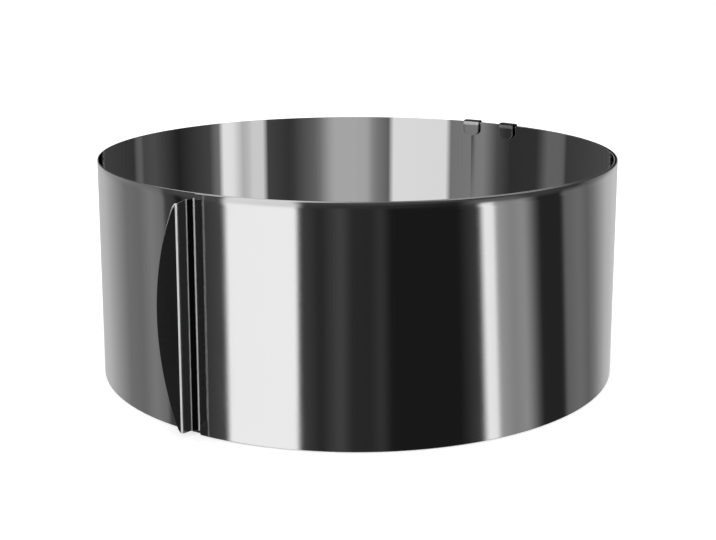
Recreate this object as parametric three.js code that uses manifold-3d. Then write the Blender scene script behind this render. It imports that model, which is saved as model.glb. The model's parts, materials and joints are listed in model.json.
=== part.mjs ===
// Adjustable cake ring: one spring-steel strip wound one and a half turns, with a
// finger grip folded from its outer end and two clips on its inner end that ride on
// the rim of the outer lap. The strip is divided at its flex lines into equal leaves,
// so that the whole ring can open and close.
// Units are millimetres, +Z is up, the grip faces -Y, and the ring stands on z = 0.
import * as THREE from "three";
import Module from "manifold-3d";

// Strip
const stripHeight = 85;
const sheet = 0.4;
const outerRadius = 102.9; // outer face at the grip
const lapPitch = 1.1; // how far the strip moves inwards in one turn
const wrapAngle = 540; // degrees from the grip to the inner end
const leafCount = 36;
const leafGap = 0.12; // between two leaves, so that they can turn
const leafSteps = 10; // flats along the arc of one leaf
const innerCorner = 4; // rounding of the free inner end

// Grip
const landStart = 4.45; // where the band turns into the flat land, along the strip
const rootShift = 0.4; // where the land turns into the rising panel
const bendRadius = 0.5;
const riseLength = 2.85; // slanting panel from the land to the crease
const riseLean = 34; // degrees that it leans back over the wall
const creaseRadius = 0.8;
const standLength = 4.9; // upright panel from the crease to the fold
const standLean = 1; // degrees that it leans forward
const foldRadius = 0.5;
const plateTurn = 4; // degrees that the bow plate turns in towards the wall
const bowDepth = 10.3; // widest part of the bow plate, from the fold
const bowRadius = 93; // curve of its free edge
const rootMargin = 1.6; // below the rim and above the table, at the land
const foldMargin = 2.4; // the same at the fold
const tipDepth = 2.2; // rounding of the plate's two tips
const tipHeight = 1.6;

// Rim clips
const clipSheet = 0.5;
const clipWidth = 7.6;
const clipAngles = [529, 539.8]; // degrees from the grip, along the strip
const clipStandOff = 1; // from the inner face of the strip to the clip's leg
const clipOuterRoom = 0.5; // from the outer lap's outer face to the outer leg
const clipRise = 0.4; // clear height over the rim
const clipDrop = 6.2; // how far the legs reach below the rim
const clipFootHeight = 2.4; // of the rounded end of a leg
const clipCornerRadius = 0.9;
const studRadius = 1.5;
const studShift = 2; // towards the strip, so that the stud meets it
const studGap = 0.1;

const degree = Math.PI / 180;
const midRadius = outerRadius - sheet / 2;
const wasm = await Module();
wasm.setup();

const stripSteel = new THREE.MeshStandardMaterial({
  name: "strip steel", color: 0xc3c6c9, metalness: 1, roughness: 0.22,
});
const clipSteel = new THREE.MeshStandardMaterial({
  name: "clip steel", color: 0xa9adb1, metalness: 1, roughness: 0.3,
});

const ring = new THREE.Group();
ring.name = "adjustable_cake_ring";

// Directions and the middle of the sheet at an angle along the strip
const outward = (angle) => new THREE.Vector2(Math.sin(angle), -Math.cos(angle));
const along = (angle) => new THREE.Vector2(Math.cos(angle), Math.sin(angle));
const radiusAt = (angle) => midRadius - (lapPitch * angle) / (2 * Math.PI);
const middleAt = (angle) => outward(angle).multiplyScalar(radiusAt(angle));

// A round corner between two straight runs of a folded sheet
function corner(before, at, after, radius, steps) {
  const into = before.clone().sub(at).normalize();
  const away = after.clone().sub(at).normalize();
  const half = Math.acos(THREE.MathUtils.clamp(into.dot(away), -1, 1)) / 2;
  const reach = radius / Math.tan(half);
  const centre = into.clone().add(away).normalize().multiplyScalar(radius / Math.sin(half)).add(at);
  const start = into.clone().multiplyScalar(reach).add(at).sub(centre);
  const end = away.clone().multiplyScalar(reach).add(at).sub(centre);
  const first = Math.atan2(start.y, start.x);
  let turn = Math.atan2(end.y, end.x) - first;
  turn -= 2 * Math.PI * Math.round(turn / (2 * Math.PI));
  return Array.from({ length: steps + 1 }, (_, i) => {
    const a = first + (turn * i) / steps;
    return new THREE.Vector2(Math.cos(a), Math.sin(a)).multiplyScalar(radius).add(centre);
  });
}

// The outline of a sheet of the given thickness that follows a middle line
function sheetShape(line, thickness) {
  const sides = [[], []];
  line.forEach((p, i) => {
    const a = line[Math.max(i - 1, 0)];
    const b = line[Math.min(i + 1, line.length - 1)];
    const first = p.clone().sub(a);
    const second = b.clone().sub(p);
    const before = (i === 0 ? second : first).clone().normalize();
    const after = (i === line.length - 1 ? first : second).clone().normalize();
    const middle = before.clone().add(after).normalize();
    const side = new THREE.Vector2(-middle.y, middle.x);
    const reach = thickness / 2 / Math.max(middle.dot(before), 0.5);
    sides[0].push(p.clone().addScaledVector(side, reach));
    sides[1].push(p.clone().addScaledVector(side, -reach));
  });
  return new THREE.Shape([...sides[0], ...sides[1].reverse()]);
}

const raised = (shape, depth) =>
  new THREE.ExtrudeGeometry(shape, { depth, bevelEnabled: false, curveSegments: 12 });

// Solids for cutting and joining
function solid(geometry) {
  const flat = geometry.index ? geometry.toNonIndexed() : geometry;
  const mesh = new wasm.Mesh({
    numProp: 3,
    vertProperties: new Float32Array(flat.getAttribute("position").array),
    triVerts: Uint32Array.from({ length: flat.getAttribute("position").count }, (_, i) => i),
  });
  mesh.merge();
  return new wasm.Manifold(mesh);
}

function geometryOf(body) {
  const mesh = body.getMesh();
  const geometry = new THREE.BufferGeometry();
  geometry.setAttribute("position", new THREE.BufferAttribute(new Float32Array(mesh.vertProperties), 3));
  geometry.setIndex(new THREE.BufferAttribute(new Uint32Array(mesh.triVerts), 1));
  return geometry;
}

function addPiece(name, geometry, material) {
  const flat = geometry.index ? geometry.toNonIndexed() : geometry;
  flat.computeVertexNormals();
  const mesh = new THREE.Mesh(flat, material);
  mesh.name = name;
  ring.add(mesh);
  return mesh;
}

// Leaves of the strip
const leafAngle = (wrapAngle / leafCount) * degree;
const trim = leafGap / 2 / midRadius;

function leafLine(index, start = index * leafAngle + trim) {
  const end = (index + 1) * leafAngle - (index === leafCount - 1 ? 0 : trim);
  return Array.from({ length: leafSteps + 1 }, (_, i) => middleAt(start + ((end - start) * i) / leafSteps));
}

// Free edge of the bow plate: how far it stands from the fold at a height over the middle
function bowAt(height) {
  const half = stripHeight / 2 - foldMargin;
  const bow = bowDepth - bowRadius + Math.sqrt(bowRadius * bowRadius - height * height);
  const over = (Math.abs(height) - half + tipHeight) / tipHeight;
  return over < 0 ? bow : Math.min(bow, tipDepth * Math.sqrt(Math.max(1 - over * over, 0)));
}

// Finger grip, folded from the outer end: land, rising panel, upright panel, fold and bow plate
function gripEnd() {
  const y = -midRadius;
  const band = leafLine(0, landStart / midRadius);
  const root = new THREE.Vector2(rootShift, y);
  const crease = outward(-riseLean * degree).multiplyScalar(riseLength).add(root);
  const fold = outward(standLean * degree).multiplyScalar(standLength).add(crease);
  const lip = along(-plateTurn * degree).multiplyScalar(-bowDepth).add(fold);
  const line = [
    lip,
    ...corner(lip, fold, crease, foldRadius, 7),
    ...corner(fold, crease, root, creaseRadius, 3),
    ...corner(crease, root, band[0], bendRadius, 4),
    ...band,
  ];
  const folded = solid(raised(sheetShape(line, sheet), stripHeight));

  const middle = stripHeight / 2;
  const half = middle - foldMargin;
  const relief = rootShift + bendRadius;
  const edge = new THREE.Shape();
  edge.moveTo(60, -1);
  edge.lineTo(60, stripHeight + 1);
  edge.lineTo(relief, stripHeight + 1);
  edge.lineTo(relief, stripHeight - rootMargin);
  for (let i = 0; i <= 48; i += 1) {
    const height = half * Math.cos((Math.PI * i) / 48);
    edge.lineTo(fold.x - bowAt(height), middle + height);
  }
  edge.lineTo(relief, rootMargin);
  edge.lineTo(relief, -1);
  const cutter = new THREE.ExtrudeGeometry(edge, { depth: 60, bevelEnabled: false });
  cutter.rotateX(Math.PI / 2);
  cutter.translate(0, y + 30, 0);
  return geometryOf(folded.intersect(solid(cutter)));
}

// Free inner end, with its two corners rounded
function innerEnd() {
  const line = leafLine(leafCount - 1);
  const plain = solid(raised(sheetShape(line, sheet), stripHeight));
  const last = wrapAngle * degree;
  const outline = new THREE.Shape();
  outline.moveTo(-60, -1);
  outline.lineTo(-innerCorner, -1);
  outline.lineTo(-innerCorner, 0);
  outline.absarc(-innerCorner, innerCorner, innerCorner, -Math.PI / 2, 0, false);
  outline.absarc(-innerCorner, stripHeight - innerCorner, innerCorner, 0, Math.PI / 2, false);
  outline.lineTo(-innerCorner, stripHeight + 1);
  outline.lineTo(-60, stripHeight + 1);
  const cutter = raised(outline, 60);
  cutter.rotateX(Math.PI / 2);
  cutter.rotateZ(last);
  const at = middleAt(last).addScaledVector(outward(last), -30);
  cutter.translate(at.x, at.y, 0);
  return geometryOf(plain.intersect(solid(cutter)));
}

// Rim clip: a sheet bent into an upside-down U over both laps, with rounded legs and a
// stud on its inner leg that is welded to the strip
function rimClip(angle, shift) {
  const inner = -sheet / 2 - clipStandOff - clipSheet / 2;
  const outer = lapPitch + sheet / 2 + clipOuterRoom + clipSheet / 2;
  const top = stripHeight + clipRise + clipSheet / 2;
  const foot = stripHeight - clipDrop;
  const points = [
    new THREE.Vector2(inner, foot),
    new THREE.Vector2(inner, top),
    new THREE.Vector2(outer, top),
    new THREE.Vector2(outer, foot),
  ];
  const line = [
    points[0],
    ...corner(points[0], points[1], points[2], clipCornerRadius, 5),
    ...corner(points[1], points[2], points[3], clipCornerRadius, 5),
    points[3],
  ];
  const bent = raised(sheetShape(line, clipSheet), clipWidth);
  bent.translate(0, 0, -clipWidth / 2);
  bent.rotateX(Math.PI / 2);

  const half = clipWidth / 2;
  const face = new THREE.Shape();
  face.moveTo(-half, top + 2);
  face.lineTo(-half, foot + clipFootHeight);
  face.absellipse(0, foot + clipFootHeight, half, clipFootHeight, Math.PI, 2 * Math.PI, false, 0);
  face.lineTo(half, top + 2);
  const cutter = raised(face, 20);
  cutter.rotateX(Math.PI / 2);
  cutter.rotateZ(Math.PI / 2);
  cutter.translate(-10, 0, 0);

  const length = clipStandOff - studGap + clipSheet / 2;
  const stud = new THREE.CylinderGeometry(studRadius, studRadius, length, 20);
  stud.rotateZ(Math.PI / 2);
  stud.translate(inner + length / 2, shift, foot + half);

  const clip = geometryOf(solid(bent).intersect(solid(cutter)).add(solid(stud)));
  clip.rotateZ(angle - Math.PI / 2);
  const at = middleAt(angle);
  clip.translate(at.x, at.y, 0);
  return clip;
}

const number = (i) => String(i + 1).padStart(2, "0");
for (let i = 0; i < leafCount; i += 1) {
  if (i === 0) {
    addPiece("grip_end", gripEnd(), stripSteel);
  } else if (i === leafCount - 1) {
    addPiece("inner_end", innerEnd(), stripSteel);
  } else {
    addPiece(`band_leaf_${number(i)}`, raised(sheetShape(leafLine(i), sheet), stripHeight), stripSteel);
  }
}
clipAngles.forEach((angle, i) => {
  addPiece(`rim_clip_${i + 1}`, rimClip(angle * degree, -studShift * i), clipSteel);
});

// The origin is under the middle of the whole ring
const box = new THREE.Box3().setFromObject(ring);
const centre = box.getCenter(new THREE.Vector3());
for (const piece of ring.children) {
  piece.geometry.translate(-centre.x, -centre.y, 0);
}

// Flex lines, where one leaf turns on the next
ring.userData.flexLines = Array.from({ length: leafCount - 1 }, (_, i) => {
  const p = middleAt((i + 1) * leafAngle);
  return [p.x - centre.x, p.y - centre.y];
});
ring.userData.axis = [-centre.x, -centre.y];

export default ring;
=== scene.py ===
import json
import math
import bpy
import bmesh
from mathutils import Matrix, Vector
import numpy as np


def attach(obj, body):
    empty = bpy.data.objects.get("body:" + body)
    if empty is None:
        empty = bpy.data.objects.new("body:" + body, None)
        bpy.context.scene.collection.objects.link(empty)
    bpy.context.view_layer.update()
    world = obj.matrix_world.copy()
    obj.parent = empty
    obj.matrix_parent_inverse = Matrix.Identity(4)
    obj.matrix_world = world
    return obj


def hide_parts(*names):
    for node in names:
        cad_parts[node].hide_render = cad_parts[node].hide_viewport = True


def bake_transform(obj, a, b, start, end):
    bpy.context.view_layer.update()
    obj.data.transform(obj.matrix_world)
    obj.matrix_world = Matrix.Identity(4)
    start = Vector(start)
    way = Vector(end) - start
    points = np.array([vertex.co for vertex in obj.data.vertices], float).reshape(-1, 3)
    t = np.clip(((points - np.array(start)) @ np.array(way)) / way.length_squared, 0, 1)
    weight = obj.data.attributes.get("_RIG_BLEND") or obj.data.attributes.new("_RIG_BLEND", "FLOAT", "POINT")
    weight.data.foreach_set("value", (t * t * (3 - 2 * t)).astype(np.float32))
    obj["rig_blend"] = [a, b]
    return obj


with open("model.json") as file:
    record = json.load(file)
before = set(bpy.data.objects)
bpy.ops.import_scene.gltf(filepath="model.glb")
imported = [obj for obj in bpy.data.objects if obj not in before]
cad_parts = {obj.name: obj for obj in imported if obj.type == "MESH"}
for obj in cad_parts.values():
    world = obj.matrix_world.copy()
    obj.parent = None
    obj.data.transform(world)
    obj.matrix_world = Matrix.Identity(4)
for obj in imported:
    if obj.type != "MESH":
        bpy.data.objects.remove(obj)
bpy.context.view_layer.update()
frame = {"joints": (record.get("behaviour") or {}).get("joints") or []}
print("frame loaded")

# Where the ring is
strip = dict(height=0.085, sheet=0.0004, radius=0.1027, pitch=0.0011,
             leaves=36, leafTurn=math.radians(15), steps=16,
             edges=(0.00018, 0.00006),  # rounding of the edges, in front and at the back
             # how the outer face leans back below the rim
             curlHeight=0.0034, curlTilt=math.radians(15), curlRows=3, curlFade=1.5)
upright = Vector((0, 0, 1))
plain = (0, 0, 0, 0)  # neither wear nor painted light and shade at the low edge, the high edge, the cut and the front border


def outward(angle):
    return Vector((math.sin(angle), -math.cos(angle), 0))


def along(angle):
    return Vector((math.cos(angle), math.sin(angle), 0))


def radiusAt(angle):
    return strip["radius"] - strip["pitch"] * angle / math.tau


def findAxis():  # the ring's axis, from the hinge three quarters of a turn along the strip
    hinge = next(j for j in frame["joints"] if j["name"] == "ring_size")
    angle = math.radians(270)
    spot = Vector(hinge["pos_m"]) - outward(angle) * radiusAt(angle)
    return Vector((spot.x, spot.y, 0))


ringAxis = findAxis()


def middleAt(angle):
    return ringAxis + outward(angle) * radiusAt(angle)


# Sheet metal
corner = dict(turns=(0, 30, 60, 90), ofSheet=0.95, ofHeight=0.24)  # the last two limit how round an edge is


def section(low, high, thick, edges, curl):  # points of a cut through the sheet: (out, up, tilt, place)
    side = thick / 2
    tall = high - low
    front, back = [min(edge, side * corner["ofSheet"], tall * corner["ofHeight"]) for edge in edges]
    corners = ((side - front, high - front, 0, front), (-side + back, high - back, 90, back),
               (-side + back, low + back, 180, back), (side - front, low + front, 270, front))
    places = (2, 1, 1, 0)  # 1 on the cut, 2 along the border of the front face, 0 elsewhere
    points = []
    for out, up, start, edge in corners:
        atRim = start == 0
        for turn, place in zip(corner["turns"], places):
            angle = math.radians(start + turn)
            tilt = max(angle, curl) if atRim else angle
            points.append((out + edge * math.cos(angle), up + edge * math.sin(angle), tilt,
                           place if atRim else place % 2))
    points.insert(2 * len(places), (-side, (low + high) / 2, math.pi, 0))  # halfway down the back
    rows = strip["curlRows"]
    for row in range(rows, 0, -1):  # the outer face leans back a little below the rim
        drop = min(strip["curlHeight"], tall / 3) * row / rows
        points.append((side, high - drop, curl * (1 - row / rows) ** strip["curlFade"], 0))
    return points


def addObject(name, data):
    made = bpy.data.objects.new(name, data)
    bpy.context.scene.collection.objects.link(made)
    return made


def foldedSheet(name, stations, thick, edges):  # stations: (middle, face, cross, low, high, curl, wear and painted light)
    mesh = bpy.data.meshes.new(name)
    bm = bmesh.new()
    lean = bm.verts.layers.float_vector.new("lean")
    wearAndPaintedLight = bm.verts.layers.float.new("wearAndPaintedLight")
    loops = []
    for middle, face, cross, low, high, curl, (wearAndLightLow, wearAndLightHigh, wearAndLightCut, wearAndLightBorder) in stations:
        verts = []
        for out, up, tilt, place in section(low, high, thick, edges, curl):
            vert = bm.verts.new(middle + face * out + cross * up)
            vert[lean] = (face * math.cos(tilt) + cross * math.sin(tilt)).normalized()
            upper = max(2 * (up - low) / (high - low) - 1, 0)  # 0 up to the middle, 1 at the high edge
            # above 0 rubbed matt, partly wear and partly a painted highlight; below 0 painted shade
            vert[wearAndPaintedLight] = (0, wearAndLightCut, wearAndLightBorder)[place] or wearAndLightLow + (wearAndLightHigh - wearAndLightLow) * upper
            verts.append(vert)
        loops.append([bm.edges.new(pair) for pair in zip(verts, verts[1:] + verts[:1])])
    for a, b in zip(loops, loops[1:]):
        bmesh.ops.bridge_loops(bm, edges=a + b)
    for cap in (loops[0], loops[-1]):
        bmesh.ops.contextual_create(bm, geom=cap)
    bmesh.ops.recalc_face_normals(bm, faces=bm.faces[:])
    for face in bm.faces:
        face.smooth = True
    bm.to_mesh(mesh)
    bm.free()
    mesh.normals_split_custom_set_from_vertices([d.vector for d in mesh.attributes["lean"].data])
    mesh.attributes.remove(mesh.attributes["lean"])
    return addObject(name, mesh)


def bandStations(start, end, steps):
    made = []
    for i in range(steps + 1):
        angle = start + (end - start) * i / steps
        made.append((middleAt(angle), outward(angle), upright, 0, strip["height"], strip["curlTilt"], plain))
    return made


def bodyOf(leaf):
    if leaf == 0:
        return "grip_body"
    if leaf == strip["leaves"] - 1:
        return "inner_end_body"
    return f"leaf_{leaf + 1:02d}"


# Steel
steel = dict(bandGrey=0.86, bandRoughness=0.045, clipGrey=0.8, clipRoughness=0.1,
             # streaks from rolling, and smears from handling
             streaks=(14, 14, 5200), streakDetail=4, streakBump=0.03, streakDepth=0.0002,
             smears=32, smearDetail=3, smearRange=(0.35, 0.7), smearRoughness=(-0.015, 0.03),
             # the metal and roughness where fully rubbed matt, partly wear and partly a painted highlight,
             # and the grey of full painted shade
             wearAndHighlightMetal=0.1, wearAndHighlightRoughness=0.3, paintedShadeGrey=0.01)


def nodeGroup(name, inputs, outputs):
    group = bpy.data.node_groups.new(name, "ShaderNodeTree")
    for label, kind in inputs:
        group.interface.new_socket(label, in_out="INPUT", socket_type=kind)
    for label, kind in outputs:
        group.interface.new_socket(label, in_out="OUTPUT", socket_type=kind)
    return group, group.nodes.new("NodeGroupInput"), group.nodes.new("NodeGroupOutput")


def makeRolledGrain():  # fine streaks along the strip, soft handling marks
    group, given, result = nodeGroup("rolledGrain", (("Roughness", "NodeSocketFloat"),),
                                     (("Roughness", "NodeSocketFloat"), ("Normal", "NodeSocketVector")))
    nodes, links = group.nodes, group.links
    coords = nodes.new("ShaderNodeTexCoord")
    stretch = nodes.new("ShaderNodeMapping")
    stretch.inputs["Scale"].default_value = steel["streaks"]
    links.new(coords.outputs["Object"], stretch.inputs["Vector"])
    streaks = nodes.new("ShaderNodeTexNoise")
    streaks.inputs["Scale"].default_value = 1
    streaks.inputs["Detail"].default_value = steel["streakDetail"]
    links.new(stretch.outputs["Vector"], streaks.inputs["Vector"])
    smears = nodes.new("ShaderNodeTexNoise")
    smears.inputs["Scale"].default_value = steel["smears"]
    smears.inputs["Detail"].default_value = steel["smearDetail"]
    links.new(coords.outputs["Object"], smears.inputs["Vector"])
    bump = nodes.new("ShaderNodeBump")
    bump.inputs["Strength"].default_value = steel["streakBump"]
    bump.inputs["Distance"].default_value = steel["streakDepth"]
    links.new(streaks.outputs["Fac"], bump.inputs["Height"])
    links.new(bump.outputs["Normal"], result.inputs["Normal"])
    spread = nodes.new("ShaderNodeMapRange")
    spread.inputs["From Min"].default_value, spread.inputs["From Max"].default_value = steel["smearRange"]
    spread.inputs["To Min"].default_value, spread.inputs["To Max"].default_value = steel["smearRoughness"]
    links.new(smears.outputs["Fac"], spread.inputs["Value"])
    add = nodes.new("ShaderNodeMath")
    links.new(given.outputs["Roughness"], add.inputs[0])
    links.new(spread.outputs["Result"], add.inputs[1])
    links.new(add.outputs["Value"], result.inputs["Roughness"])
    return group


rolledGrain = makeRolledGrain()


def makeSteel(name, grey, roughness):
    material = bpy.data.materials.new(name)
    material.use_nodes = True
    nodes, links = material.node_tree.nodes, material.node_tree.links
    shader = nodes["Principled BSDF"]
    shader.inputs["Base Color"].default_value = (grey, grey, grey, 1)
    shader.inputs["Metallic"].default_value = 1
    grain = nodes.new("ShaderNodeGroup")
    grain.node_tree = rolledGrain
    grain.inputs["Roughness"].default_value = roughness
    links.new(grain.outputs["Roughness"], shader.inputs["Roughness"])
    links.new(grain.outputs["Normal"], shader.inputs["Normal"])
    return material


def makeSteelWithWearAndPaintedLight(name, grey, roughness):  # the same sheet, rubbed matt above 0, partly wear and partly a painted highlight, and darkened as painted shade below 0
    material = makeSteel(name, grey, roughness)
    nodes, links = material.node_tree.nodes, material.node_tree.links
    shader = nodes["Principled BSDF"]
    wearAndPaintedLight = nodes.new("ShaderNodeAttribute")
    wearAndPaintedLight.attribute_name = "wearAndPaintedLight"
    matt = nodes.new("ShaderNodeMapRange")
    matt.inputs["To Min"].default_value = 1
    matt.inputs["To Max"].default_value = steel["wearAndHighlightMetal"]
    links.new(wearAndPaintedLight.outputs["Fac"], matt.inputs["Value"])
    links.new(matt.outputs["Result"], shader.inputs["Metallic"])
    rough = nodes.new("ShaderNodeMath")
    rough.operation = "MULTIPLY_ADD"
    rough.inputs[1].default_value = steel["wearAndHighlightRoughness"]
    links.new(wearAndPaintedLight.outputs["Fac"], rough.inputs[0])
    links.new(shader.inputs["Roughness"].links[0].from_socket, rough.inputs[2])
    links.new(rough.outputs["Value"], shader.inputs["Roughness"])
    # painted shade: below 0 the base colour darkens towards near black
    paintedShade = nodes.new("ShaderNodeMapRange")
    paintedShade.inputs["From Min"].default_value = -1
    paintedShade.inputs["From Max"].default_value = 0
    paintedShade.inputs["To Min"].default_value = steel["paintedShadeGrey"]
    paintedShade.inputs["To Max"].default_value = grey
    links.new(wearAndPaintedLight.outputs["Fac"], paintedShade.inputs["Value"])
    links.new(paintedShade.outputs["Result"], shader.inputs["Base Color"])
    return material


bandSteel = makeSteel("bandSteel", steel["bandGrey"], steel["bandRoughness"])
endSteel = makeSteelWithWearAndPaintedLight("endSteel", steel["bandGrey"], steel["bandRoughness"])
clipSteel = makeSteelWithWearAndPaintedLight("clipSteel", steel["clipGrey"], steel["clipRoughness"])
print("steel made")

# The strip, from the middle of one leaf to the middle of the next
halfLeaf = strip["leafTurn"] / 2
for flex in range(strip["leaves"] - 1):
    start = flex * strip["leafTurn"] + halfLeaf
    end = start + strip["leafTurn"]
    span = foldedSheet(f"bandSpan{flex + 1:02d}", bandStations(start, end, strip["steps"]),
                       strip["sheet"], strip["edges"])
    span.data.materials.append(bandSteel)
    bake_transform(span, bodyOf(flex), bodyOf(flex + 1), middleAt(start), middleAt(end))
    if flex < strip["leaves"] - 2:
        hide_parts(f"band_leaf_{flex + 2:02d}")
print("strip made")

# The finger grip, folded from the outer end
grip = dict(land=0.00445, root=0.0004, rise=0.00285, riseLean=math.radians(34),
            stand=0.0049, standLean=math.radians(1), turnIn=math.radians(4),
            bow=0.0103, bowRadius=0.093, rootMargin=0.0016, foldMargin=0.0024,
            tipDepth=0.0022, tipHeight=0.0016,
            bends=dict(root=0.0005, crease=0.0008, fold=0.0005),
            steps=dict(bow=24, fold=12, stand=14, crease=8, rise=12, root=10, land=16, band=16),
            nearFold=0.014,  # the plate's last row before the fold, as a share of its depth
            besideFold=0.0003, behindFold=0.0009,  # how far past the fold line the plate's margins reach
            # the first two: painted shade on the panels between the bends, fold to crease and crease to
            # root; the next two: the plate's lip edge rubbed matt with a painted highlight, and how far back
            # it reaches
            dark=(-0.33, -0.8), tipWearAndHighlight=0.85, tipReach=0.007,
            # each bend's rubbed wear with its painted highlight, how far it spreads past the bend and how
            # sharply it ends
            wearAndPaintedLight=dict(fold=(0.92, -0.0003, 3), crease=(0.14, 0.0003, 1.6),
                      root=(0.42, 0.0003, 1.6), land=(0.16, 0.0003, 1.6)))


def cornerArc(before, at, after, radius, steps):
    into = (before - at).normalized()
    away = (after - at).normalized()
    spread = into.angle(away) / 2
    centre = at + (into + away).normalized() * radius / math.sin(spread)
    first = at + into * radius / math.tan(spread) - centre
    last = at + away * radius / math.tan(spread) - centre
    return [centre + first.slerp(last, i / steps).normalized() * radius for i in range(steps + 1)]


def between(a, b, steps):  # points inside a straight run, closer together near its ends
    return [a.lerp(b, (1 - math.cos(math.pi * i / steps)) / 2) for i in range(1, steps)]


def bowHalf(reach):  # half the height of the bow plate at a distance from the fold
    middle = strip["height"] / 2 - grip["foldMargin"]
    arc = grip["bowRadius"] - grip["bow"] + max(reach, 0)
    bow = math.sqrt(max(grip["bowRadius"] ** 2 - arc ** 2, 1e-10))
    over = min(max(reach, 0) / grip["tipDepth"], 1)
    return min(bow, middle - grip["tipHeight"] * (1 - math.sqrt(1 - over ** 2))) if over < 1 else bow


def bendMarks(line, runs, arcs):  # where each bend lies along the line, and how widely it is rubbed matt and painted pale as a highlight
    marks = []
    for label, arc in arcs.items():
        first, last = runs[line.index(arc[0])], runs[line.index(arc[-1])]
        amount, spread, sharp = grip["wearAndPaintedLight"][label]
        marks.append(((first + last) / 2, (last - first) / 2 + spread, amount, sharp))
    return marks


def gripWearAndPaintedLight(run, marks):  # rubbed matt and pale on the bends, partly wear and partly a painted highlight; painted shade on the panels between them
    wearAndPaintedLight = 0
    for place, width, amount, sharp in marks:
        near = min(max(sharp * (1 - abs(run - place) / width), 0), 1)
        wearAndPaintedLight = max(wearAndPaintedLight, amount * near)
    foldAt, creaseAt, rootAt = [mark[0] for mark in marks[:3]]
    # painted shade on the panels between the bends: lighter from fold to crease, darker from crease to root
    if wearAndPaintedLight == 0 and foldAt < run < rootAt:
        wearAndPaintedLight = grip["dark"][0] if run < creaseAt else grip["dark"][1]
    return wearAndPaintedLight


def makeGrip():
    steps, bends = grip["steps"], grip["bends"]
    root = Vector((grip["root"], -strip["radius"], 0))
    crease = root + outward(-grip["riseLean"]) * grip["rise"]
    fold = crease + outward(grip["standLean"]) * grip["stand"]
    lip = fold - along(-grip["turnIn"]) * grip["bow"]
    landAngle = grip["land"] / strip["radius"]
    landEnd = outward(landAngle) * radiusAt(landAngle)
    bandAngles = [landAngle + (halfLeaf - landAngle) * i / steps["band"] for i in range(steps["band"] + 1)]
    foldArc = cornerArc(lip, fold, crease, bends["fold"], steps["fold"])
    creaseArc = cornerArc(fold, crease, root, bends["crease"], steps["crease"])
    rootArc = cornerArc(crease, root, landEnd, bends["root"], steps["root"])

    # the sheet's line from the lip of the bow plate to the round band
    quarter = math.pi / 2
    line = [lip.lerp(foldArc[0], 1 - math.cos(quarter * i / steps["bow"])) for i in range(steps["bow"] - 1)]
    line += [foldArc[0].lerp(lip, grip["nearFold"])] + foldArc
    line += between(foldArc[-1], creaseArc[0], steps["stand"]) + creaseArc
    line += between(creaseArc[-1], rootArc[0], steps["rise"]) + rootArc
    line += between(rootArc[-1], landEnd, steps["land"])
    line += [outward(a) * radiusAt(a) for a in bandAngles]
    runs = [0]
    for a, b in zip(line, line[1:]):
        runs.append(runs[-1] + (b - a).length)
    marks = bendMarks(line, runs, dict(fold=foldArc, crease=creaseArc, root=rootArc, land=[landEnd]))

    stations = []
    for i, (p, run) in enumerate(zip(line, runs)):
        ahead = (line[i + 1] - p).normalized() if i < len(line) - 1 else Vector()
        behind = (p - line[i - 1]).normalized() if i else Vector()
        way = (ahead + behind).normalized()
        face = Vector((way.y, -way.x, 0))
        past = i - len(line) + len(bandAngles)
        if past > 0:  # on the round band the face looks straight out, as on the strip that goes on
            face = outward(bandAngles[past])
        curl = 0
        if p.x > grip["root"] + bends["root"]:
            low = 0
            curl = strip["curlTilt"]
        elif p.x > fold.x + grip["besideFold"] or p.y > fold.y + grip["behindFold"]:
            share = (root.y - p.y) / (root.y - fold.y)
            low = grip["rootMargin"] + (grip["foldMargin"] - grip["rootMargin"]) * min(max(share, 0), 1)
        else:
            low = strip["height"] / 2 - bowHalf(fold.x - p.x)
        wearAndPaintedLight, edgeWearAndHighlight = gripWearAndPaintedLight(run, marks), 0
        # painted highlight along the plate's lip edge, partly rubbed wear, fading back from the lip
        if p.x < fold.x - grip["besideFold"]:
            edgeWearAndHighlight = max(grip["tipWearAndHighlight"] * (1 - (fold.x - p.x) / grip["tipReach"]), wearAndPaintedLight)
        stations.append((ringAxis + p, face, upright, low, strip["height"] - low, curl,
                         (wearAndPaintedLight, wearAndPaintedLight, edgeWearAndHighlight, edgeWearAndHighlight)))
    piece = foldedSheet("fingerGrip", stations, strip["sheet"], strip["edges"])
    piece.data.materials.append(endSteel)
    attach(piece, "grip_body")
    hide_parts("grip_end")


makeGrip()
print("grip made")

# The free inner end
# the last two: painted shade on the strip's end, and how far back from the end it fades
free = dict(corner=0.004, steps=14, bandSteps=8, paintedShade=-0.85, paintedShadeWidth=0.0024)


def makeInnerEnd():
    last = strip["leaves"] * strip["leafTurn"]
    span = free["corner"] / radiusAt(last)
    stations = bandStations(last - halfLeaf, last - span, free["bandSteps"])
    for i in range(1, free["steps"] + 1):
        t = math.sin(math.pi / 2 * i / free["steps"])
        angle = last - span + span * t
        low = free["corner"] * (1 - math.sqrt(max(1 - t * t, 0)))
        # painted shade on the upper half of the end, darkest at the end and towards the top
        paintedShade = free["paintedShade"] * max(1 - (1 - t) * free["corner"] / free["paintedShadeWidth"], 0)
        stations.append((middleAt(angle), outward(angle), upright, low, strip["height"] - low, 0,
                         (0, paintedShade, 0, 0)))
    piece = foldedSheet("innerEnd", stations, strip["sheet"], strip["edges"])
    piece.data.materials.append(endSteel)
    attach(piece, "inner_end_body")
    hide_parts("inner_end")


makeInnerEnd()
print("inner end made")

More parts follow.
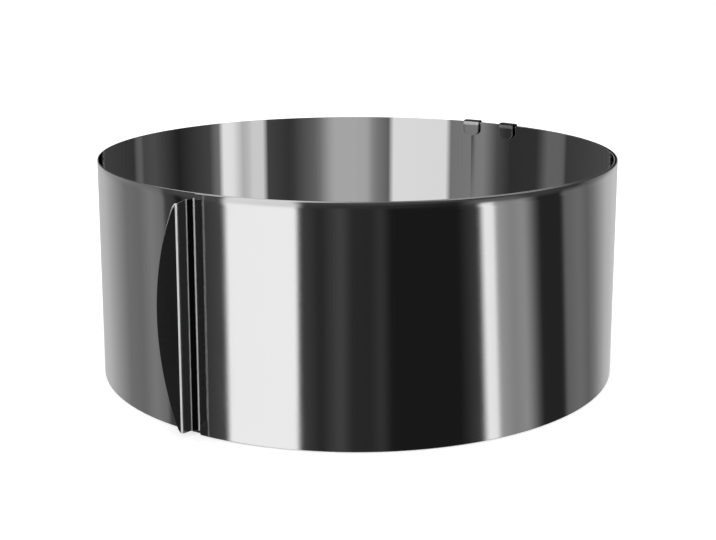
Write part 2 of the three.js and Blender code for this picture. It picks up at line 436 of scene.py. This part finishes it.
# The rim clips, the right-hand one first
clip = dict(sheet=0.0005, width=0.0076, angles=(529, 539.8), standOff=0.001, outerRoom=0.0005,
            rise=0.0004, drop=0.0062, foot=0.0024, footSteps=14, tip=0.0004, bend=0.0009, bendSteps=8,
            stud=0.0015, studSides=24, studShift=0.002, studGap=0.0001, edges=(0.0002, 0.0002),
            # per clip: the cut edge pale as a painted highlight on the first and painted shade on the
            # second, the front border painted shade on the second, and painted shade on the top and the stud
            paintedHighlight=(0.2, 0.75), cut=(0.35, -0.9), border=(0, -0.35), dark=-0.95,
            # the painted highlight band below the bend, and how far up a face looks there and on the top
            # painted dark as shade
            glow=0.0006, glowReach=1.1, glowTilt=0.55, topTilt=0.1)


def makeClip(number, angle, shift):
    out, side = outward(angle), along(angle)
    here = middleAt(angle)
    inner = -strip["sheet"] / 2 - clip["standOff"] - clip["sheet"] / 2
    outer = strip["pitch"] + strip["sheet"] / 2 + clip["outerRoom"] + clip["sheet"] / 2
    top = strip["height"] + clip["rise"] + clip["sheet"] / 2
    foot = strip["height"] - clip["drop"]
    legIn, topIn = here + out * inner + upright * foot, here + out * inner + upright * top
    topOut, legOut = here + out * outer + upright * top, here + out * outer + upright * foot
    halfWidth = clip["width"] / 2
    rounded = [1 - math.cos(math.pi / 2 * i / clip["footSteps"]) for i in range(clip["footSteps"] + 1)]
    line = [legIn + upright * clip["foot"] * r for r in rounded]
    line += [topIn - upright * (clip["bend"] + clip["glow"] * k) for k in (2, 1)]
    line += cornerArc(legIn, topIn, topOut, clip["bend"], clip["bendSteps"])
    line += cornerArc(topIn, topOut, legOut, clip["bend"], clip["bendSteps"])
    line += [legOut + upright * clip["foot"] * r for r in reversed(rounded)]
    paintedHighlight, cut, border = [clip[part][number - 1] for part in ("paintedHighlight", "cut", "border")]
    glowLow = top - clip["bend"] - clip["glow"] * clip["glowReach"]
    stations = []
    for i, p in enumerate(line):
        way = (line[min(i + 1, len(line) - 1)] - line[max(i - 1, 0)]).normalized()
        below = max(1 - (p.z - foot) / clip["foot"], 0)
        wide = max(halfWidth * math.sqrt(max(1 - below ** 2, 0)), clip["tip"])
        face = way.cross(side)
        wearAndPaintedLight = 0
        # painted highlight on inward faces just below the bend; painted shade on faces that look up over the
        # top
        if face.dot(out) < 0 and face.z < clip["glowTilt"] and p.z > glowLow:
            wearAndPaintedLight = paintedHighlight
        elif face.z > clip["topTilt"]:
            wearAndPaintedLight = clip["dark"]
        stations.append((p, face, side, -wide, wide, 0, (wearAndPaintedLight, wearAndPaintedLight, wearAndPaintedLight or cut, wearAndPaintedLight or border)))
    piece = foldedSheet(f"rimClip{number}", stations, clip["sheet"], clip["edges"])
    piece.data.materials.append(clipSteel)

    # the weld stud between the clip and the strip
    depth = clip["standOff"] - clip["studGap"] + clip["sheet"] / 2
    bm = bmesh.new()
    bm.from_mesh(piece.data)
    stud = bmesh.ops.create_cone(bm, cap_ends=True, segments=clip["studSides"], radius1=clip["stud"],
                                 radius2=clip["stud"], depth=depth)
    middle = here + out * (inner + depth / 2) + side * shift + upright * (foot + halfWidth)
    wearAndPaintedLight = bm.verts.layers.float["wearAndPaintedLight"]
    for vert in stud["verts"]:
        # the stud painted dark, as shade in the gap behind the clip
        vert[wearAndPaintedLight] = clip["dark"]
    turn = out.to_track_quat("Z", "Y").to_matrix().to_4x4()
    bmesh.ops.transform(bm, matrix=turn, verts=stud["verts"])
    bmesh.ops.translate(bm, vec=middle, verts=stud["verts"])
    bm.to_mesh(piece.data)
    bm.free()
    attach(piece, "inner_end_body")
    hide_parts(f"rim_clip_{number}")


for number, degrees in enumerate(clip["angles"], 1):
    makeClip(number, math.radians(degrees), -clip["studShift"] * (number - 1))
print("clips made")

# Stage
shot = dict(turn=math.radians(32.15), distance=0.500665, height=0.166571, pitch=0.187536,
            lens=63.63974, sensor=36, shift=(0.00177, -0.12), nearest=0.01)


def makeCamera():
    data = bpy.data.cameras.new("camera")
    data.sensor_fit = "HORIZONTAL"
    data.sensor_width = shot["sensor"]
    data.lens = shot["lens"]
    data.shift_x, data.shift_y = shot["shift"]
    data.clip_start = shot["nearest"]
    camera = addObject("camera", data)
    camera.location = ringAxis + outward(shot["turn"]) * shot["distance"] + upright * shot["height"]
    camera.rotation_euler = (math.pi / 2 - shot["pitch"], 0, shot["turn"])
    bpy.context.scene.camera = camera


makeCamera()

# Softboxes, grey walls and dark flags round the ring: (from, to, shade at from, shade at to),
# in degrees to the right of the camera, each shade as the steel gives it back.
# Ahead and behind are for the wall, brow and above for the lean below the rim, overhead for the rim itself.
room = dict(
    ahead=dict(
        wallLeft=(-98, -90.1, 118, 104), gripShade=(-88.6, -83.1, 62, 52), plateFlag=(-82.2, -78.8, 26, 26),
        flagGap=(-77.8, -72.7, 52, 54), landFlag=(-71.8, -68.4, 28, 28), dimLeft=(-67.4, -56.4, 50, 68),
        softboxLeft=(-55.9, -24.9, 233, 234), darkLeft=(-23.7, -14.9, 62, 37),
        paleStrip=(-6.5, -6.5, 64, 64), darkMiddle=(-1.9, 5.5, 40, 38), faintStrip=(10.2, 10.2, 50, 50),
        blackMiddle=(14.5, 43.7, 24, 24), dimRight=(52.2, 54.1, 56, 92), softboxRight=(55.7, 61, 230, 224),
        greyRight=(62.1, 69.7, 146, 126), paleRight=(76.5, 83, 136, 72), blackRight=(86, 98, 34, 34)),
    behind=dict(
        farLeft=(-165, -143.8, 182, 172), leftGrey=(-117.9, -106.7, 108, 101), leftEdge=(-98, -98, 118, 118),
        blackEdge=(98, 99.5, 34, 34), rightGrey=(102.6, 113, 92, 104), rightDip=(121, 127, 93, 112),
        farRight=(142.8, 158, 170, 186)),
    brow=dict(
        farLeft=(-180, -110, 190, 110), edgeLeft=(-91, -91, 104, 104), dimLeft=(-88, -57, 64, 68),
        softbox=(-55.4, -25, 212, 204), dark=(-22, 44, 52, 30), right=(54, 70, 90, 84),
        darkRight=(80, 112, 56, 52), farRight=(138, 180, 120, 190)),
    above=dict(
        farLeft=(-180, -110, 44, 60), dimLeft=(-62, -57, 66, 70), softbox=(-55.4, -27, 215, 205),
        dark=(-22, 100, 60, 60), farRight=(135, 180, 50, 44)),
    overhead=dict(
        back=(-180, -168, 90, 90), left=(-145, -30, 238, 238), pale=(-18, 6, 170, 150),
        dark=(14, 46, 36, 36), right=(56, 145, 180, 200), farBack=(168, 180, 90, 90)),
    aheadReach=98,  # degrees to either side of the camera
    # where each higher row takes over, from level at 0 to straight up at 1
    rises=dict(brow=(-0.16, 0.02), above=(0.08, 0.2), overhead=(0.5, 0.7)),
    fan=0.5, fanMiddle=-0.29, fanReach=0.13)


def lightFor(shade):  # linear light that the steel gives back as this shade
    part = shade / 255
    light = part / 12.92 if part <= 0.04045 else ((part + 0.055) / 1.055) ** 2.4
    return light / steel["bandGrey"]


def greyRamp(nodes, panels):
    stops = {}
    for start, end, first, last in panels.values():
        stops[start / 360 + 0.5] = lightFor(first)
        stops[end / 360 + 0.5] = lightFor(last)
    ramp = nodes.new("ShaderNodeValToRGB")
    elements = ramp.color_ramp.elements
    for i, (spot, light) in enumerate(stops.items()):
        element = elements[i] if i < 2 else elements.new(spot)
        element.position = spot
        element.color = (light, light, light, 1)
    return ramp


def turnFrom(nodes, links, vector):  # a direction's turn to the right of the shot, 0.5 at the shot itself
    parts = []
    for axis in (along(shot["turn"]), outward(shot["turn"])):
        dot = nodes.new("ShaderNodeVectorMath")
        dot.operation = "DOT_PRODUCT"
        dot.inputs[1].default_value = axis
        links.new(vector, dot.inputs[0])
        parts.append(dot.outputs["Value"])
    turn = nodes.new("ShaderNodeMath")
    turn.operation = "ARCTAN2"
    links.new(parts[0], turn.inputs[0])
    links.new(parts[1], turn.inputs[1])
    share = nodes.new("ShaderNodeMath")
    share.operation = "MULTIPLY_ADD"
    share.inputs[1].default_value = 1 / math.tau
    share.inputs[2].default_value = 0.5
    links.new(turn.outputs["Value"], share.inputs[0])
    return share.outputs["Value"]


def fanOut(nodes, links, turn, rise):  # the panels on the right stand further out towards the floor
    right = nodes.new("ShaderNodeMath")
    right.operation = "SUBTRACT"
    right.use_clamp = True
    right.inputs[1].default_value = 0.5
    links.new(turn, right.inputs[0])
    slant = nodes.new("ShaderNodeMapRange")
    for label, sign in (("Min", -1), ("Max", 1)):
        slant.inputs[f"From {label}"].default_value = room["fanMiddle"] + sign * room["fanReach"]
        slant.inputs[f"To {label}"].default_value = sign * room["fanReach"] * room["fan"]
    links.new(rise, slant.inputs["Value"])
    fan = nodes.new("ShaderNodeMath")
    fan.operation = "MULTIPLY_ADD"
    links.new(right.outputs["Value"], fan.inputs[0])
    links.new(slant.outputs["Result"], fan.inputs[1])
    links.new(turn, fan.inputs[2])
    return fan.outputs["Value"]


def mixBy(nodes, links, factor, a, b):
    mix = nodes.new("ShaderNodeMix")
    mix.data_type = "RGBA"
    links.new(factor, mix.inputs["Factor"])
    for label, given in (("A", a), ("B", b)):
        if isinstance(given, tuple):
            mix.inputs[label].default_value = given
        else:
            links.new(given, mix.inputs[label])
    return mix.outputs["Result"]


def makeWorld():  # white to the eye and for soft light, the room of panels in reflections
    world = bpy.data.worlds.new("room")
    world.use_nodes = True
    bpy.context.scene.world = world
    nodes, links = world.node_tree.nodes, world.node_tree.links
    coords = nodes.new("ShaderNodeTexCoord")
    parts = nodes.new("ShaderNodeSeparateXYZ")
    links.new(coords.outputs["Generated"], parts.inputs["Vector"])
    turn = fanOut(nodes, links, turnFrom(nodes, links, coords.outputs["Generated"]), parts.outputs["Z"])
    shades = {}
    for row in ("ahead", "behind", "brow", "above", "overhead"):
        ramp = greyRamp(nodes, room[row])
        links.new(turn, ramp.inputs["Fac"])
        shades[row] = ramp.outputs["Color"]
    ahead = nodes.new("ShaderNodeMath")
    ahead.operation = "COMPARE"
    ahead.inputs[1].default_value = 0.5
    ahead.inputs[2].default_value = room["aheadReach"] / 360
    links.new(turn, ahead.inputs[0])
    shown = mixBy(nodes, links, ahead.outputs["Value"], shades["behind"], shades["ahead"])
    for row, (low, high) in room["rises"].items():
        rise = nodes.new("ShaderNodeMapRange")
        rise.interpolation_type = "SMOOTHSTEP"
        rise.inputs["From Min"].default_value = low
        rise.inputs["From Max"].default_value = high
        links.new(parts.outputs["Z"], rise.inputs["Value"])
        shown = mixBy(nodes, links, rise.outputs["Result"], shown, shades[row])
    path = nodes.new("ShaderNodeLightPath")
    seen = mixBy(nodes, links, path.outputs["Is Glossy Ray"], (1, 1, 1, 1), shown)
    links.new(seen, nodes["Background"].inputs["Color"])


makeWorld()


def stageMaterial(name):
    material = bpy.data.materials.new(name)
    material.use_nodes = True
    nodes, links = material.node_tree.nodes, material.node_tree.links
    nodes.remove(nodes["Principled BSDF"])
    return material, nodes, links


def showUnless(nodes, links, mask, shader):  # the shader, or nothing at all where the mask is 1
    clear = nodes.new("ShaderNodeBsdfTransparent")
    either = nodes.new("ShaderNodeMixShader")
    links.new(mask, either.inputs["Fac"])
    links.new(shader, either.inputs[1])
    links.new(clear.outputs["BSDF"], either.inputs[2])
    links.new(either.outputs["Shader"], nodes["Material Output"].inputs["Surface"])


# Cards that stand just inside the ring, where only its inner wall sees them
cardRing = dict(
    radius=0.0992, height=0.1, foot=-0.01, sides=180,
    panels=dict(
        farLeft=(-173.8, -169.6, 164, 98), blackLeft=(-162.4, -155.1, 48, 66),
        boxEdge=(-154.8, -152.1, 198, 202), boxDip=(-149.4, -149.4, 166, 166),
        boxLeft=(-145.9, -143.2, 224, 222), dimLeft=(-142.9, -140.8, 118, 98),
        dimMiddle=(-139.6, -129.2, 66, 32), paleLeft=(-120.5, -116.6, 74, 68),
        thinLeft=(-115.4, -113.8, 94, 86), darkLeft=(-112.6, -112.6, 50, 50), front=(0, 0, 110, 110),
        darkRight=(117.4, 117.4, 56, 56), paleRight=(118.2, 123.9, 95, 96),
        blackRight=(127.5, 136.5, 48, 45), greyRight=(140.6, 144.8, 72, 122),
        greyBack=(155.3, 155.3, 112, 112), boxRight=(155.6, 170.6, 214, 216),
        stripRight=(170.9, 175.4, 88, 122), farRight=(177.4, 177.4, 162, 162)))


def makeInnerCards():
    bm = bmesh.new()
    bmesh.ops.create_cone(bm, cap_ends=False, segments=cardRing["sides"], radius1=cardRing["radius"],
                          radius2=cardRing["radius"], depth=cardRing["height"])
    middle = cardRing["height"] / 2 + cardRing["foot"]
    bmesh.ops.translate(bm, vec=ringAxis + upright * middle, verts=bm.verts[:])
    mesh = bpy.data.meshes.new("innerCards")
    bm.to_mesh(mesh)
    bm.free()
    cards = addObject("innerCards", mesh)
    for rays in ("camera", "diffuse", "transmission", "volume_scatter", "shadow"):
        setattr(cards, f"visible_{rays}", False)
    material, nodes, links = stageMaterial("cardLight")
    coords = nodes.new("ShaderNodeTexCoord")
    centred = nodes.new("ShaderNodeMapping")
    centred.inputs["Location"].default_value = -ringAxis
    links.new(coords.outputs["Object"], centred.inputs["Vector"])
    ramp = greyRamp(nodes, cardRing["panels"])
    links.new(turnFrom(nodes, links, centred.outputs["Vector"]), ramp.inputs["Fac"])
    glow = nodes.new("ShaderNodeEmission")
    links.new(ramp.outputs["Color"], glow.inputs["Color"])
    geometry = nodes.new("ShaderNodeNewGeometry")
    showUnless(nodes, links, geometry.outputs["Backfacing"], glow.outputs["Emission"])
    mesh.materials.append(material)


makeInnerCards()

# The white floor, which reflections don't see
paper = dict(size=6, drop=0.0002, grey=0.9, glow=0.45)


def makeFloor():
    bpy.ops.mesh.primitive_plane_add(size=paper["size"], location=(0, 0, -paper["drop"]))
    floor = bpy.context.object
    floor.name = "floor"
    material, nodes, links = stageMaterial("paper")
    matt = nodes.new("ShaderNodeBsdfDiffuse")
    matt.inputs["Color"].default_value = (paper["grey"], paper["grey"], paper["grey"], 1)
    glow = nodes.new("ShaderNodeEmission")
    glow.inputs["Strength"].default_value = paper["glow"]
    lit = nodes.new("ShaderNodeAddShader")
    links.new(matt.outputs["BSDF"], lit.inputs[0])
    links.new(glow.outputs["Emission"], lit.inputs[1])
    path = nodes.new("ShaderNodeLightPath")
    showUnless(nodes, links, path.outputs["Is Glossy Ray"], lit.outputs["Shader"])
    floor.data.materials.append(material)


makeFloor()
bpy.context.scene.view_settings.view_transform = "Standard"
print("stage made")
